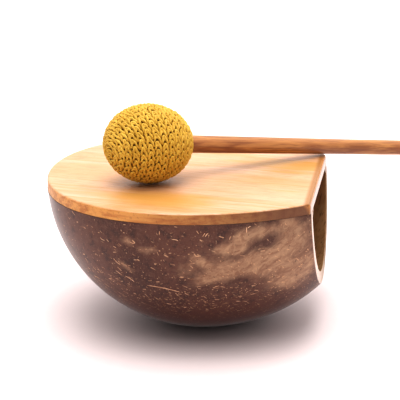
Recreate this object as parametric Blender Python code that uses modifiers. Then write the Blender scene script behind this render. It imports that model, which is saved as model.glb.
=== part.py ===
"""A coconut-shell wood block with its crocheted mallet, as separate pieces.

Half a coconut shell stands on a small sanded foot. A thin hardwood plate is
glued on its rim, and both are sawn off in one steep plane, which opens the
shell into a mouth on the +X side. The mallet lies on the plate: its head rests
near the middle and its stick on the far corner of the sawn edge.

Metres, +Z up. The origin is on the foot, straight below the plate's centre.
"""

import math

import bmesh
import bpy
from mathutils import Matrix, Vector

# --- Plate and shell ------------------------------------------------------
PLATE_RADIUS = 0.0606       # mean radius of the plate
PLATE_THICKNESS = 0.0040
MOUTH_EDGE_ROUND = 0.0016   # sanded round-over along the sawn top edge
RIM_EDGE_ROUND = 0.0008     # along the rest of the top edge, and up the corners
MOUTH_X = 0.0466            # where the saw cut meets the plate's top
MOUTH_TILT = 3.4            # degrees that the cut leans outwards on its way down
SEAM = 0.0003               # gap kept between touching pieces

SHELL_RADIUS = 0.0607       # outside of the shell's rim
SHELL_WALL = 0.0034
BOWL_DEPTH = 0.0562         # rim to where the unsanded shell would end
BOWL_POWER = 1.96           # 2 is an ellipse; more is fuller at the shoulder
BOWL_LEAN = 0.0026          # the nut's pole lies this far towards the mouth
BOWL_LEAN_POWER = 0.7       # the lean grows faster near the rim
FOOT_RADIUS = 0.0130        # sanded flat that the shell stands on

# A nut is never round: (lobes, relative height, direction in degrees).
LOBES = ((2, 0.0201, -24.5), (3, 0.0327, 1.2))

GLUE_FILLET = 0.0025        # leg of the glue fillet inside the rim

# --- Mallet ---------------------------------------------------------------
HEAD_X, HEAD_Y = -0.0166, -0.0194   # the head's centre over the plate
HEAD_RADIUS = 0.0150                # across the stick
HEAD_HALF_LENGTH = 0.0177           # along the stick
STICK_AZIMUTH = 41.4                # degrees from +X, head to grip
STICK_REACH = 0.0838                # head centre to the plate's edge, in plan
STICK_LENGTH = 0.2000               # head centre to grip end
STICK_RADIUS_HEAD = 0.0034
STICK_RADIUS_GRIP = 0.0031

COVER_THICKNESS = 0.0018    # one layer of single crochet
CORE_RADIUS = 0.0095
BORE_DEPTH = 0.0040         # the stick's end, past the head's centre
TIE_YARN_RADIUS = 0.0005

# --- Facets ---------------------------------------------------------------
SHELL_STEPS = 64
SHELL_RINGS = 13
HEAD_STEPS = 36
HEAD_RINGS = 12
STICK_STEPS = 20
MERGE = 0.00001


def clear_scene():
    """Remove every object, mesh and material of an earlier run."""
    for obj in list(bpy.data.objects):
        bpy.data.objects.remove(obj, do_unlink=True)
    for group in (bpy.data.meshes, bpy.data.curves, bpy.data.materials):
        for block in list(group):
            group.remove(block)
    for collection in list(bpy.data.collections):
        bpy.data.collections.remove(collection)


def make_collection(name):
    collection = bpy.data.collections.new(name)
    bpy.context.scene.collection.children.link(collection)
    return collection


def make_material(name, colour, roughness, metallic=0.0):
    material = bpy.data.materials.new(name)
    material.use_nodes = True
    shader = material.node_tree.nodes["Principled BSDF"]
    shader.inputs["Base Color"].default_value = (*colour, 1.0)
    shader.inputs["Roughness"].default_value = roughness
    shader.inputs["Metallic"].default_value = metallic
    return material


def add_object(name, mesh, collection, material=None):
    """Link a mesh as a named object with its own material."""
    obj = bpy.data.objects.new(name, mesh)
    collection.objects.link(obj)
    if material:
        mesh.materials.append(material)
    return obj


def turned_mesh(name, profile, steps, closed=False):
    """Turn (radius, height) points about Z with a Screw modifier."""
    mesh = bpy.data.meshes.new(name + "_profile")
    points = [(radius, 0.0, height) for radius, height in profile]
    edges = [(i, i + 1) for i in range(len(points) - 1)]
    if closed:
        edges.append((len(points) - 1, 0))
    mesh.from_pydata(points, edges, [])
    guide = bpy.data.objects.new(name + "_guide", mesh)
    bpy.context.scene.collection.objects.link(guide)
    screw = guide.modifiers.new("Turn", "SCREW")
    screw.axis = "Z"
    screw.angle = math.tau
    screw.steps = steps
    screw.render_steps = steps
    screw.use_merge_vertices = True
    screw.merge_threshold = MERGE
    bpy.context.view_layer.update()
    depsgraph = bpy.context.evaluated_depsgraph_get()
    turned = bpy.data.meshes.new_from_object(guide.evaluated_get(depsgraph))
    turned.name = name
    bpy.data.objects.remove(guide, do_unlink=True)
    bpy.data.meshes.remove(mesh)
    return turned


def smooth(obj, angle=35.0):
    obj.data.shade_smooth()
    obj.data.set_sharp_from_angle(angle=math.radians(angle))


# --- Shape rules of the nut -----------------------------------------------
def lobe_scale(angle):
    """How far the nut's outline stands off a circle in a direction."""
    return 1.0 + sum(
        height * math.cos(count * (angle - math.radians(direction)))
        for count, height, direction in LOBES
    )


def bowl_drop(inner_radius, radius, depth):
    """Drop below the rim at which the bowl has narrowed to a radius."""
    share = 1.0 - (inner_radius / radius) ** BOWL_POWER
    return depth * share ** (1.0 / BOWL_POWER)


RIM_HEIGHT = bowl_drop(FOOT_RADIUS, SHELL_RADIUS, BOWL_DEPTH)
PLATE_BOTTOM = RIM_HEIGHT + SEAM
PLATE_TOP = PLATE_BOTTOM + PLATE_THICKNESS


def shape_like_nut(mesh):
    """Give a turned piece the nut's lobed outline and leaning pole."""
    for vertex in mesh.vertices:
        x, y, z = vertex.co
        scale = lobe_scale(math.atan2(y, x))
        share = min(1.0, max(0.0, (RIM_HEIGHT - z) / BOWL_DEPTH))
        lean = BOWL_LEAN * share ** BOWL_LEAN_POWER
        vertex.co = (x * scale + lean, y * scale, z)


def bowl_profile(radius, depth, last_drop, rings):
    """Points from the rim to a drop, evenly turned along the curve."""
    last_angle = math.asin((last_drop / depth) ** (BOWL_POWER / 2.0))
    points = []
    for i in range(rings + 1):
        angle = last_angle * i / rings
        drop = depth * math.sin(angle) ** (2.0 / BOWL_POWER)
        points.append((radius * math.cos(angle) ** (2.0 / BOWL_POWER), RIM_HEIGHT - drop))
    return points


def cut_mouth(obj, cutter):
    cut = obj.modifiers.new("Mouth", "BOOLEAN")
    cut.operation = "DIFFERENCE"
    cut.solver = "EXACT"
    cut.object = cutter


def mouth_plane():
    """A point on the saw cut and the direction it faces."""
    tilt = math.radians(MOUTH_TILT)
    return Vector((MOUTH_X, 0.0, PLATE_TOP)), Vector((math.cos(tilt), 0.0, math.sin(tilt)))


def mouth_cutter(collection):
    """A block that takes away everything past the saw cut."""
    size = 0.4
    point, facing = mouth_plane()
    bpy.ops.mesh.primitive_cube_add(size=size, location=point + facing * size / 2.0)
    cutter = bpy.context.active_object
    cutter.name = "mouth_cutter"
    cutter.rotation_euler = (0.0, -math.radians(MOUTH_TILT), 0.0)
    for owner in list(cutter.users_collection):
        owner.objects.unlink(cutter)
    collection.objects.link(cutter)
    cutter.hide_render = True
    cutter.display_type = "WIRE"
    return cutter


# --- Drum -----------------------------------------------------------------
def build_coconut_shell(collection, cutter):
    """The polished half shell: one wall of even thickness."""
    outer = bowl_profile(SHELL_RADIUS, BOWL_DEPTH, RIM_HEIGHT, SHELL_RINGS)
    inner_radius = SHELL_RADIUS - SHELL_WALL
    inner_depth = BOWL_DEPTH - SHELL_WALL
    inner = bowl_profile(inner_radius, inner_depth, inner_depth * 0.9999, SHELL_RINGS)
    inner[-1] = (0.0, RIM_HEIGHT - inner_depth)
    profile = inner[::-1] + outer + [(0.0, 0.0)]
    mesh = turned_mesh("coconut_shell", profile, SHELL_STEPS)
    shape_like_nut(mesh)
    material = make_material("coconut_shell", (0.13, 0.065, 0.045), 0.35)
    obj = add_object("coconut_shell", mesh, collection, material)
    cut_mouth(obj, cutter)
    smooth(obj)


def sawn_plate_mesh():
    """The nut's outline extruded to the plate's thickness and sawn off."""
    builder = bmesh.new()
    rim = []
    for i in range(SHELL_STEPS):
        angle = math.tau * i / SHELL_STEPS
        radius = PLATE_RADIUS * lobe_scale(angle)
        rim.append(builder.verts.new((
            radius * math.cos(angle), radius * math.sin(angle), PLATE_BOTTOM,
        )))
    base = builder.faces.new(rim)
    raised = bmesh.ops.extrude_face_region(builder, geom=[base])
    top_verts = [item for item in raised["geom"] if isinstance(item, bmesh.types.BMVert)]
    bmesh.ops.translate(builder, verts=top_verts, vec=(0.0, 0.0, PLATE_THICKNESS))

    point, facing = mouth_plane()
    everything = [*builder.verts, *builder.edges, *builder.faces]
    cut = bmesh.ops.bisect_plane(
        builder, geom=everything, plane_co=point, plane_no=facing, clear_outer=True, dist=MERGE,
    )
    cut_edges = [item for item in cut["geom_cut"] if isinstance(item, bmesh.types.BMEdge)]
    bmesh.ops.edgeloop_fill(builder, edges=cut_edges)
    bmesh.ops.recalc_face_normals(builder, faces=builder.faces)
    mark_sanded_edges(builder)
    mesh = bpy.data.meshes.new("top_plate")
    builder.to_mesh(mesh)
    builder.free()
    return mesh


def mark_sanded_edges(builder):
    """Weight the plate's top edges and corners for the Bevel modifier."""
    weight = builder.edges.layers.float.new("bevel_weight_edge")
    point, facing = mouth_plane()
    for edge in builder.edges:
        on_cut = all(abs((vert.co - point).dot(facing)) < MERGE for vert in edge.verts)
        on_top = all(vert.co.z > PLATE_TOP - MERGE for vert in edge.verts)
        upright = abs(edge.verts[0].co.z - edge.verts[1].co.z) > PLATE_THICKNESS / 2.0
        if on_cut and on_top:
            edge[weight] = 1.0
        elif on_top or (on_cut and upright):
            edge[weight] = RIM_EDGE_ROUND / MOUTH_EDGE_ROUND


def build_top_plate(collection):
    """The struck plate, with its top edge sanded round."""
    material = make_material("top_plate", (0.82, 0.56, 0.28), 0.45)
    obj = add_object("top_plate", sawn_plate_mesh(), collection, material)
    smooth(obj)
    sanding = obj.modifiers.new("Sanding", "BEVEL")
    sanding.limit_method = "WEIGHT"
    sanding.width = MOUTH_EDGE_ROUND
    sanding.segments = 3


def build_glue_fillet(collection, cutter):
    """The bead of glue in the corner between the wall and the plate."""
    outer = SHELL_RADIUS - SHELL_WALL - SEAM
    top = RIM_HEIGHT
    profile = [
        (outer, top),
        (outer - 0.0001, top - GLUE_FILLET),
        (outer - GLUE_FILLET * 0.45, top - GLUE_FILLET * 0.45),
        (outer - GLUE_FILLET, top - 0.0001),
    ]
    mesh = turned_mesh("glue_fillet", profile, SHELL_STEPS, closed=True)
    shape_like_nut(mesh)
    material = make_material("glue_fillet", (0.42, 0.27, 0.14), 0.30)
    obj = add_object("glue_fillet", mesh, collection, material)
    cut_mouth(obj, cutter)
    smooth(obj)


# --- Mallet ---------------------------------------------------------------
def mallet_pose():
    """Where the mallet's axis lies when head and stick both rest."""
    centre_height = HEAD_RADIUS + SEAM
    slope = 0.0
    for _ in range(20):
        support = math.hypot(HEAD_HALF_LENGTH * math.sin(slope), HEAD_RADIUS * math.cos(slope))
        centre_height = support + SEAM
        stick_height = STICK_RADIUS_GRIP / math.cos(slope) + SEAM
        slope = math.atan2(centre_height - stick_height, STICK_REACH)
    azimuth = math.radians(STICK_AZIMUTH)
    direction = Vector((
        math.cos(azimuth) * math.cos(slope),
        math.sin(azimuth) * math.cos(slope),
        -math.sin(slope),
    ))
    centre = Vector((HEAD_X, HEAD_Y, PLATE_TOP + centre_height))
    return Matrix.Translation(centre) @ direction.to_track_quat("Z", "Y").to_matrix().to_4x4()


def ellipse_points(radius, half_length, first, last, rings):
    """Points of an ellipse between two angles from the +Z pole, in degrees."""
    points = []
    for i in range(rings + 1):
        angle = math.radians(first + (last - first) * i / rings)
        points.append((radius * math.sin(angle), half_length * math.cos(angle)))
    return points


def pole_angle(radius, neck):
    """Angle from the pole at which an ellipse is as wide as a neck."""
    return math.degrees(math.asin(neck / radius))


def add_on_mallet(name, mesh, collection, material, axis):
    obj = add_object(name, mesh, collection, material)
    obj.parent = axis
    smooth(obj)
    return obj


def build_mallet_stick(collection, axis):
    """A turned dowel: its head end sits in the core, its grip end is round."""
    round_over = STICK_RADIUS_GRIP * 0.6
    profile = [(0.0, STICK_LENGTH)]
    for i in range(5):
        angle = math.radians(90.0 * i / 4)
        profile.append((
            STICK_RADIUS_GRIP - round_over * (1.0 - math.sin(angle)),
            STICK_LENGTH - round_over * (1.0 - math.cos(angle)),
        ))
    profile += [
        (STICK_RADIUS_GRIP, STICK_REACH),
        (STICK_RADIUS_HEAD, HEAD_HALF_LENGTH),
        (STICK_RADIUS_HEAD, -BORE_DEPTH),
        (0.0, -BORE_DEPTH),
    ]
    mesh = turned_mesh("mallet_stick", profile, STICK_STEPS)
    material = make_material("mallet_stick", (0.52, 0.22, 0.10), 0.40)
    add_on_mallet("mallet_stick", mesh, collection, material, axis)


def build_head_core(collection, axis):
    """The hard ball at the stick's end, with a blind bore for it."""
    bore = STICK_RADIUS_HEAD + SEAM
    first = pole_angle(CORE_RADIUS, bore)
    ball = ellipse_points(CORE_RADIUS, CORE_RADIUS, first, 180.0, HEAD_RINGS)
    ball[-1] = (0.0, -CORE_RADIUS)
    profile = [(0.0, -BORE_DEPTH - SEAM), (bore, -BORE_DEPTH - SEAM)] + ball
    mesh = turned_mesh("head_core", profile, HEAD_STEPS)
    material = make_material("head_core", (0.35, 0.22, 0.14), 0.70)
    add_on_mallet("head_core", mesh, collection, material, axis)


def hollow_profile(inner, outer, neck, rings):
    """A closed-bottomed hollow between two ellipses, open at a neck.

    inner and outer are (radius, half length) pairs.
    """
    inside = ellipse_points(*inner, pole_angle(inner[0], neck), 180.0, rings)
    outside = ellipse_points(*outer, pole_angle(outer[0], neck), 180.0, rings)
    inside[-1] = (0.0, -inner[1])
    outside[-1] = (0.0, -outer[1])
    return inside[::-1] + outside


def build_head_stuffing(collection, axis):
    """The felted wadding round the core."""
    inner = (CORE_RADIUS + SEAM, CORE_RADIUS + SEAM)
    skin = COVER_THICKNESS + SEAM
    outer = (HEAD_RADIUS - skin, HEAD_HALF_LENGTH - skin)
    neck = STICK_RADIUS_HEAD + SEAM
    profile = hollow_profile(inner, outer, neck, HEAD_RINGS)
    mesh = turned_mesh("head_stuffing", profile, HEAD_STEPS)
    material = make_material("head_stuffing", (0.80, 0.78, 0.72), 0.95)
    add_on_mallet("head_stuffing", mesh, collection, material, axis)


def neck_radius():
    """The cover's mouth, wide enough for the tie round the stick."""
    return STICK_RADIUS_HEAD + 2.0 * SEAM + 2.0 * TIE_YARN_RADIUS


def build_crochet_cover(collection, axis):
    """The crocheted bag over the stuffing, open where the stick goes in."""
    inner = (HEAD_RADIUS - COVER_THICKNESS, HEAD_HALF_LENGTH - COVER_THICKNESS)
    outer = (HEAD_RADIUS, HEAD_HALF_LENGTH)
    profile = hollow_profile(inner, outer, neck_radius(), HEAD_RINGS)
    mesh = turned_mesh("crochet_cover", profile, HEAD_STEPS)
    material = make_material("crochet_cover", (0.72, 0.42, 0.06), 0.90)
    add_on_mallet("crochet_cover", mesh, collection, material, axis)


def build_neck_tie(collection, axis):
    """The yarn drawn through the last round, closing it on the stick."""
    lip = math.cos(math.radians(pole_angle(HEAD_RADIUS, neck_radius())))
    centre_radius = STICK_RADIUS_HEAD + SEAM + TIE_YARN_RADIUS
    centre_height = HEAD_HALF_LENGTH * lip - TIE_YARN_RADIUS
    profile = []
    sides = 8
    for i in range(sides):
        angle = -math.tau * i / sides
        profile.append((
            centre_radius + TIE_YARN_RADIUS * math.cos(angle),
            centre_height + TIE_YARN_RADIUS * math.sin(angle),
        ))
    mesh = turned_mesh("neck_tie", profile, HEAD_STEPS, closed=True)
    material = make_material("neck_tie", (0.66, 0.38, 0.05), 0.90)
    add_on_mallet("neck_tie", mesh, collection, material, axis)


def main():
    clear_scene()
    collection = make_collection("coconut_wood_block")
    cutters = make_collection("cutters")

    mouth = mouth_cutter(cutters)
    build_coconut_shell(collection, mouth)
    build_top_plate(collection)
    build_glue_fillet(collection, mouth)

    axis = bpy.data.objects.new("mallet_axis", None)
    axis.matrix_world = mallet_pose()
    collection.objects.link(axis)
    build_mallet_stick(collection, axis)
    build_head_core(collection, axis)
    build_head_stuffing(collection, axis)
    build_crochet_cover(collection, axis)
    build_neck_tie(collection, axis)
    bpy.context.view_layer.update()


main()
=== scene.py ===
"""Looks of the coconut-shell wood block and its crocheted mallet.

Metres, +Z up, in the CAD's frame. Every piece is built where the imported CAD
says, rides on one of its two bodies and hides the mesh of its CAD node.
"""

import math
import random

import bmesh
import bpy
import numpy as np
from mathutils import Matrix, Vector


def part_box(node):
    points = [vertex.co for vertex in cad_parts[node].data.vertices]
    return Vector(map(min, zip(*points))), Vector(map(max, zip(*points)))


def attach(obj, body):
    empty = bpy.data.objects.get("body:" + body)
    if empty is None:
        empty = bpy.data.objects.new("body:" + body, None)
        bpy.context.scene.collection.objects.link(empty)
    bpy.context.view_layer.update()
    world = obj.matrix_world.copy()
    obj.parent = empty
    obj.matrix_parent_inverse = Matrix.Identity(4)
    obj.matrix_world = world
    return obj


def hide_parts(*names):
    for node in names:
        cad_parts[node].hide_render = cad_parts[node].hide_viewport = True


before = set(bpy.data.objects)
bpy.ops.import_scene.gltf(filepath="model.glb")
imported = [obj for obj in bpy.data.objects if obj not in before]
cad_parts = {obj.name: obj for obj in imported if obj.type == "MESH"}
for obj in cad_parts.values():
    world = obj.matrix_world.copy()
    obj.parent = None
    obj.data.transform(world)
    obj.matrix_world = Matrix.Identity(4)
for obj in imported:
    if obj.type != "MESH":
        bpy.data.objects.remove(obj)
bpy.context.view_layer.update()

PLATE_LOW, PLATE_HIGH = (Vector(corner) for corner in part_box("top_plate"))
SHELL_LOW = Vector(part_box("coconut_shell")[0])
PLATE_TOP = PLATE_HIGH.z
PLATE_BOTTOM = PLATE_LOW.z
RIM_HEIGHT = PLATE_BOTTOM - 0.00005     # glued on: only a hairline shows

# --- Shape rules shared with the CAD ---------------------------------------
PLATE_RADIUS = 0.0606
MOUTH_EDGE_ROUND = 0.0016
RIM_EDGE_ROUND = 0.0008
MOUTH_X = 0.0466
MOUTH_TILT = math.radians(3.4)
SEAM = 0.0003
SHELL_RADIUS = 0.0607
SHELL_WALL = 0.0034
BOWL_DEPTH = 0.0562
BOWL_POWER = 1.96
BOWL_LEAN = 0.0026
BOWL_LEAN_POWER = 0.7
LOBES = ((2, 0.0201, -24.5), (3, 0.0327, 1.2))
GLUE_FILLET = 0.0025
HEAD_X, HEAD_Y = -0.0166, -0.0194
HEAD_RADIUS = 0.0150
HEAD_HALF_LENGTH = 0.0177
STICK_AZIMUTH = math.radians(41.4)
STICK_REACH = 0.0838
STICK_LENGTH = 0.2000
STICK_RADIUS_HEAD = 0.0034
STICK_RADIUS_GRIP = 0.0031
CORE_RADIUS = 0.0095
BORE_DEPTH = 0.0040

MOUTH_POINT = Vector((MOUTH_X, 0.0, PLATE_TOP))
MOUTH_FACING = Vector((math.cos(MOUTH_TILT), 0.0, math.sin(MOUTH_TILT)))
CUT_TOLERANCE = 2e-7        # 32-bit places stray from the plane by less


def lobe_scale(angle):
    """How far the nut's outline stands off a circle in a direction."""
    return 1.0 + sum(
        height * np.cos(count * (angle - math.radians(direction)))
        for count, height, direction in LOBES
    )


def bowl_share(height):
    """How far down the bowl a height is: 0 at the rim, 1 at the pole."""
    return np.clip((RIM_HEIGHT - height) / BOWL_DEPTH, 0.0, 1.0)


def bowl_radius(share):
    """The bowl's outside radius, before lobes, at a share of its depth."""
    return SHELL_RADIUS * (1.0 - share ** BOWL_POWER) ** (1.0 / BOWL_POWER)


def bowl_lean(share):
    """How far the bowl's axis has moved towards the mouth at a share."""
    return BOWL_LEAN * share ** BOWL_LEAN_POWER


def mallet_matrix():
    """The mallet's axis as the CAD lays it: +Z runs from head to grip."""
    slope = 0.0
    for _ in range(20):
        support = math.hypot(HEAD_HALF_LENGTH * math.sin(slope), HEAD_RADIUS * math.cos(slope))
        centre_height = support + SEAM
        stick_height = STICK_RADIUS_GRIP / math.cos(slope) + SEAM
        slope = math.atan2(centre_height - stick_height, STICK_REACH)
    direction = Vector((
        math.cos(STICK_AZIMUTH) * math.cos(slope),
        math.sin(STICK_AZIMUTH) * math.cos(slope),
        -math.sin(slope),
    ))
    centre = Vector((HEAD_X, HEAD_Y, PLATE_TOP + centre_height))
    return Matrix.Translation(centre) @ direction.to_track_quat("Z", "Y").to_matrix().to_4x4()


MALLET = mallet_matrix()


# --- Mesh helpers ----------------------------------------------------------
def new_object(name, mesh, materials):
    """An object in the scene with its materials."""
    obj = bpy.data.objects.new(name, mesh)
    bpy.context.scene.collection.objects.link(obj)
    for material in materials:
        mesh.materials.append(material)
    return obj


def add_piece(name, mesh, body, node, *materials):
    """A piece that rides on a body and hides the CAD mesh of a node.

    A piece of the mallet has the mallet's own axes, so its grain runs along it.
    """
    obj = new_object(name, mesh, materials)
    if body == "mallet":
        obj.matrix_world = MALLET
    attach(obj, body)
    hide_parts(node)
    return obj


def smooth(mesh, angle=40.0):
    """Smooth shading, but for edges sharper than an angle in degrees."""
    mesh.shade_smooth()
    mesh.set_sharp_from_angle(angle=math.radians(angle))


def grid_mesh(name, points, faces):
    """A mesh from points and faces."""
    mesh = bpy.data.meshes.new(name)
    mesh.from_pydata([tuple(point) for point in points], [], [tuple(face) for face in faces])
    mesh.validate()
    mesh.update()
    return mesh


def vertex_places(mesh):
    """x, y and z of every vertex, as three arrays."""
    places = np.zeros(len(mesh.vertices) * 3)
    mesh.vertices.foreach_get("co", places)
    return places.reshape(-1, 3).T


def set_vertex_values(mesh, name, values):
    """One number at each vertex, for a material to read."""
    layer = mesh.attributes.new(name, "FLOAT", "POINT")
    layer.data.foreach_set("value", values.astype(np.float32))


def set_vertex_uvs(mesh, name, uv):
    """A UV map from one pair for each vertex."""
    loops = np.zeros(len(mesh.loops), int)
    mesh.loops.foreach_get("vertex_index", loops)
    layer = mesh.uv_layers.new(name=name)
    layer.data.foreach_set("uv", uv[loops].astype(np.float32).ravel())


def turned(profile, steps):
    """Points and faces of a closed turning about Z.

    profile is (radius, height) pairs; a radius of 0 makes a single pole point.
    """
    points, rings = [], []
    for radius, height in profile:
        if radius == 0.0:
            rings.append([len(points)] * steps)
            points.append((0.0, 0.0, height))
        else:
            rings.append(list(range(len(points), len(points) + steps)))
            for i in range(steps):
                angle = math.tau * i / steps
                points.append((radius * math.cos(angle), radius * math.sin(angle), height))
    faces = []
    for below, above in zip(rings, rings[1:]):
        for i in range(steps):
            j = (i + 1) % steps
            corners = [below[i], below[j], above[j], above[i]]
            faces.append(list(dict.fromkeys(corners)))
    return np.array(points), faces


def tube(centres, normals, radii, sides, lobes=0, lobe_height=0.0, pitch=1.0, phase=0.0):
    """Points, faces and (along, around) coordinates of a capped tube.

    A tube of yarn has one lobe per ply, and the lobes wind along it.
    """
    centres, normals = np.asarray(centres), np.asarray(normals)
    tangents = np.gradient(centres, axis=0)
    tangents /= np.linalg.norm(tangents, axis=1)[:, None]
    sideways = np.cross(tangents, normals)
    sideways /= np.linalg.norm(sideways, axis=1)[:, None]
    upward = np.cross(sideways, tangents)
    steps = np.linalg.norm(np.diff(centres, axis=0), axis=1)
    along = np.concatenate(([0.0], np.cumsum(steps)))
    angles = math.tau * np.arange(sides) / sides
    twist = lobes * angles[None, :] - math.tau * along[:, None] / pitch + phase
    reach = np.asarray(radii)[:, None] * (1.0 + lobe_height * np.cos(twist))
    points = (
        centres[:, None, :]
        + (reach * np.cos(angles))[:, :, None] * upward[:, None, :]
        + (reach * np.sin(angles))[:, :, None] * sideways[:, None, :]
    ).reshape(-1, 3)
    faces = []
    for ring in range(len(centres) - 1):
        for side in range(sides):
            a, b = ring * sides + side, ring * sides + (side + 1) % sides
            faces.append((a, b, b + sides, a + sides))
    faces.append(tuple(range(sides - 1, -1, -1)))
    last = (len(centres) - 1) * sides
    faces.append(tuple(range(last, last + sides)))
    around = np.tile(angles / math.tau, len(centres))
    return points, faces, np.repeat(along, sides), around


# --- Material helpers ------------------------------------------------------
class Paint:
    """Builds one procedural material, or the world, node by node."""

    def __init__(self, name, kind=bpy.data.materials):
        """Start with only the shader and the object coordinates."""
        self.made = kind.new(name)
        self.made.use_nodes = True
        self.tree = self.made.node_tree
        self.shader = self.tree.nodes.get("Principled BSDF") or self.tree.nodes["Background"]
        self.place = self.node("TexCoord").outputs["Object"]

    def put(self, socket, value):
        """Link a socket to another, or give it a plain value."""
        if isinstance(value, bpy.types.NodeSocket):
            self.tree.links.new(value, socket)
        else:
            socket.default_value = value

    def node(self, kind, values=(), **settings):
        """A new node. values are (input name or number, value) pairs."""
        made = self.tree.nodes.new("ShaderNode" + kind)
        for key, value in settings.items():
            setattr(made, key, value)
        for key, value in values:
            self.put(made.inputs[key], value)
        return made

    def math(self, operation, *values):
        """A sum on numbers."""
        return self.node("Math", enumerate(values), operation=operation).outputs[0]

    def vector(self, operation, *values):
        """A sum on vectors."""
        made = self.node("VectorMath", enumerate(values), operation=operation)
        return made.outputs["Value" if operation in ("LENGTH", "DOT_PRODUCT") else "Vector"]

    def axis(self, place, number):
        """One coordinate of a place."""
        return self.node("SeparateXYZ", [(0, place)]).outputs[number]

    def turn_scale(self, place, scale=(1, 1, 1), turn=(0, 0, 0)):
        """Place turned and scaled, so that a pattern is drawn out where scale is small."""
        return self.node("Mapping", [
            ("Vector", place), ("Scale", scale), ("Rotation", turn),
        ]).outputs[0]

    def stretch(self, place, long, turn):
        """Place with a pattern's X axis turned (degrees) and drawn out."""
        return self.node("Mapping", [
            ("Vector", place), ("Rotation", [math.radians(angle) for angle in turn]),
            ("Scale", (long, 1.0, 1.0)),
        ], vector_type="TEXTURE").outputs[0]

    def noise(self, place, scale, detail=4.0, rough=0.55, bend=0.0):
        """Cloudy noise from 0 to 1."""
        return self.node("TexNoise", [
            ("Vector", place), ("Scale", scale), ("Detail", detail),
            ("Roughness", rough), ("Distortion", bend),
        ]).outputs["Fac"]

    def spread(self, noise, size):
        """Noise moved to swing both ways about 0."""
        return self.math("MULTIPLY", self.math("SUBTRACT", noise, 0.5), size)

    def step(self, value, low, high, to_low=0.0, to_high=1.0):
        """A smooth step of a value from one level to another."""
        return self.node("MapRange", [
            ("Value", value), ("From Min", low), ("From Max", high),
            ("To Min", to_low), ("To Max", to_high),
        ], interpolation_type="SMOOTHSTEP").outputs[0]

    def mix(self, factor, first, second):
        """Two colours mixed, each a socket or (red, green, blue)."""
        made = self.node("Mix", data_type="RGBA")
        self.put(made.inputs["Factor"], factor)
        for socket, value in zip((6, 7), (first, second)):
            plain = not isinstance(value, bpy.types.NodeSocket)
            self.put(made.inputs[socket], (*value, 1.0) if plain else value)
        return made.outputs[2]

    def tint(self, colour, mask, share, shade):
        """The colour moved a share of the way to a shade where the mask is 1."""
        return self.mix(self.math("MULTIPLY", mask, share), colour, shade)

    def attribute(self, name):
        """A number stored at the mesh's vertices."""
        return self.node("Attribute", attribute_name=name).outputs["Fac"]

    def bump(self, height, distance, strength=1.0, below=None):
        """A normal that follows a height map, on top of another normal."""
        values = [("Height", height), ("Distance", distance), ("Strength", strength)]
        if below is not None:
            values.append(("Normal", below))
        return self.node("Bump", values).outputs[0]

    def finish(self, colour, roughness, normal=None, **constants):
        """Wire the shader. constants are plain values on its own sockets."""
        self.put(self.shader.inputs["Base Color"], colour)
        self.put(self.shader.inputs["Roughness"], roughness)
        if normal is not None:
            self.put(self.shader.inputs["Normal"], normal)
        for key, value in constants.items():
            self.shader.inputs[key.replace("_", " ")].default_value = value
        return self.made


def dashes(paint, flat, spacing, reach, width, heading, spread, keep, seed=0.0):
    """Mask of short fibres: one in each cell that is kept.

    flat is a 2-D place in metres. reach is half a fibre's length, heading its
    direction in radians and spread how far that may stray.
    """
    flat = paint.vector("ADD", flat, (seed, seed * 0.7, 0.0))
    cells = paint.node("TexVoronoi", [
        ("Vector", flat), ("Scale", 1.0 / spacing), ("Randomness", 0.9),
    ], voronoi_dimensions="2D", feature="F1")
    offset = paint.vector("SUBTRACT", flat, cells.outputs["Position"])
    chance = paint.node("SeparateColor", [(0, cells.outputs["Color"])])
    angle = paint.math("ADD", heading, paint.spread(chance.outputs[0], 2.0 * spread))
    direction = paint.node("CombineXYZ", [
        (0, paint.math("COSINE", angle)), (1, paint.math("SINE", angle)),
    ]).outputs[0]
    half = paint.math("MULTIPLY_ADD", chance.outputs[1], reach * 0.9, reach * 0.2)
    along = paint.vector("DOT_PRODUCT", offset, direction)
    beyond = paint.math("SUBTRACT", paint.math("ABSOLUTE", along), half)
    beyond = paint.math("MAXIMUM", beyond, 0.0)
    square = paint.vector("DOT_PRODUCT", offset, offset)
    square = paint.math("SUBTRACT", square, paint.math("MULTIPLY", along, along))
    across = paint.math("SQRT", paint.math("MAXIMUM", square, 0.0))
    distance = paint.math("MULTIPLY", beyond, beyond)
    distance = paint.math("ADD", paint.math("MULTIPLY", across, across), distance)
    distance = paint.math("SQRT", distance)
    thick = paint.math("MULTIPLY_ADD", chance.outputs[2], width * 0.7, width * 0.35)
    inside = paint.step(paint.math("DIVIDE", distance, thick), 1.0, 0.35)
    draw = paint.math("FRACT", paint.math("MULTIPLY", chance.outputs[2], 7.13))
    return paint.math("MULTIPLY", inside, paint.math("LESS_THAN", draw, keep))


# --- Materials -------------------------------------------------------------
FIBRE_LEAN = 0.35       # radians the sanded fibres lean from the horizontal


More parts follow.
